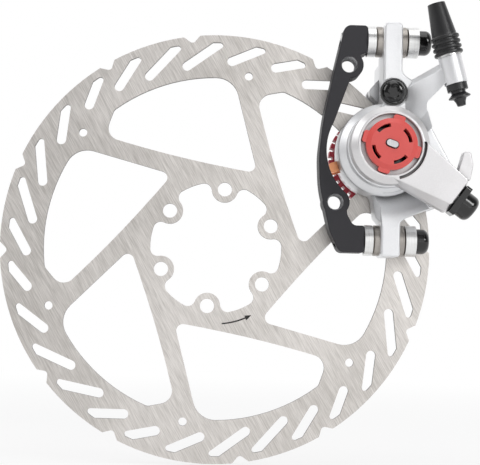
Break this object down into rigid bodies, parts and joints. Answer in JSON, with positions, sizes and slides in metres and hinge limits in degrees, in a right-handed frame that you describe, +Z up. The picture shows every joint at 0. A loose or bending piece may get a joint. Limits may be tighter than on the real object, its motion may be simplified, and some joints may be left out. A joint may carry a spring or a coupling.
{
  "type": "bicycle disc brake",
  "caption": "Cable-pulled bicycle disc brake: slotted rotor, two-piece ball-ramp caliper with red pad adjusters, and a black frame bracket.",
  "frame": {"origin": "centre of the rotor on its mid-plane", "axes": "+X along the post-mount bolts, away from the hub; +Y along the wheel axle, towards the wheel; +Z up"},
  "size_m": [0.1726, 0.0534, 0.1691],
  "materials": {
    "rotor_steel": "diagonally brushed stainless sheet",
    "bracket_black": "satin black anodised",
    "bolt_black": "gloss black",
    "washer_silver": "turned satin",
    "washer_tan": "plain turned steel",
    "body_silver": "bead-blasted silver",
    "lever_silver": "polished silver",
    "knob_red": "satin red",
    "knob_crimson": "satin crimson",
    "steel": "ground steel",
    "spring_steel": "drawn spring steel",
    "rubber_black": "matt black",
    "copper_plate": "copper plated steel",
    "lining": "sintered friction lining"
  },
  "bodies": {
    "caliper": {"mount_bracket": "bracket_black", "mount_bolts": "bolt_black", "cup_washers": "washer_silver", "ball_washers": "washer_tan", "flat_washers": "washer_silver", "outboard_body": "body_silver", "inboard_body": "body_silver", "body_bolts": "bolt_black", "fixed_cam": "steel", "dust_seal": "rubber_black", "return_spring": "spring_steel", "pad_spring": "spring_steel", "cable_seal": "rubber_black"},
    "rotor": {"rotor": "rotor_steel"},
    "lever": {"lever_arm": "lever_silver", "pinch_washer": "bolt_black", "pinch_bolt": "bolt_black", "drive_cam": "steel"},
    "ball_ring": {"ramp_balls": "steel", "ball_cage": "steel"},
    "outer_adjuster": {"outboard_knob": "knob_red", "foot_screw": "steel"},
    "outer_foot": {"outboard_foot": "steel"},
    "outer_pad": {"outboard_pad_plate": "copper_plate", "outboard_pad_lining": "lining"},
    "inner_adjuster": {"inboard_knob": "knob_crimson"},
    "inner_pad": {"inboard_foot": "steel", "inboard_pad_plate": "copper_plate", "inboard_pad_lining": "lining"},
    "cable_cap": {"cable_ferrule": "washer_silver", "adjuster_boot": "rubber_black"}
  },
  "joints": [
    {"name": "rotor_spin", "type": "hinge", "parent": "caliper", "child": "rotor", "pos_m": [0, 0, 0], "axis": [0, -1, 0], "continuous": true},
    {"name": "lever_pull", "type": "hinge", "parent": "caliper", "child": "lever", "pos_m": [0.0605, 0, 0.0365], "axis": [0, -1, 0], "range_deg": [0, 20], "stiffness_Nm_per_rad": 0.8, "springref_deg": -20.05},
    {"name": "ball_roll", "type": "hinge", "parent": "caliper", "child": "ball_ring", "pos_m": [0.0605, 0, 0.0365], "axis": [0, -1, 0], "range_deg": [0, 10.2]},
    {"name": "outer_adjust", "type": "hinge", "parent": "lever", "child": "outer_adjuster", "pos_m": [0.0605, 0, 0.0365], "axis": [0, -1, 0], "range_deg": [0, 90.1]},
    {"name": "outer_push", "type": "slide", "parent": "caliper", "child": "outer_foot", "axis": [0, 1, 0], "range_m": [0, 0.0003]},
    {"name": "outer_set", "type": "slide", "parent": "outer_foot", "child": "outer_pad", "axis": [0, 1, 0], "range_m": [0, 0.00021]},
    {"name": "inner_adjust", "type": "hinge", "parent": "caliper", "child": "inner_adjuster", "pos_m": [0.0605, 0, 0.0365], "axis": [0, 1, 0], "range_deg": [0, 180.2]},
    {"name": "inner_set", "type": "slide", "parent": "caliper", "child": "inner_pad", "axis": [0, -1, 0], "range_m": [0, 0.00045]},
    {"name": "cable_turn", "type": "hinge", "parent": "caliper", "child": "cable_cap", "pos_m": [0.08165, -0.026, 0.0692], "axis": [-0.2571, 0, 0.9664], "range_deg": [-180, 180]}
  ],
  "couplings": [
    {"joint": "ball_roll", "follows": "lever_pull", "ratio": 0.5},
    {"joint": "outer_push", "follows": "lever_pull", "m_per_rad": 0.0008021},
    {"joint": "outer_adjust", "follows": "outer_set", "rad_per_m": 7480},
    {"joint": "inner_adjust", "follows": "inner_set", "rad_per_m": 6981.3}
  ]
}
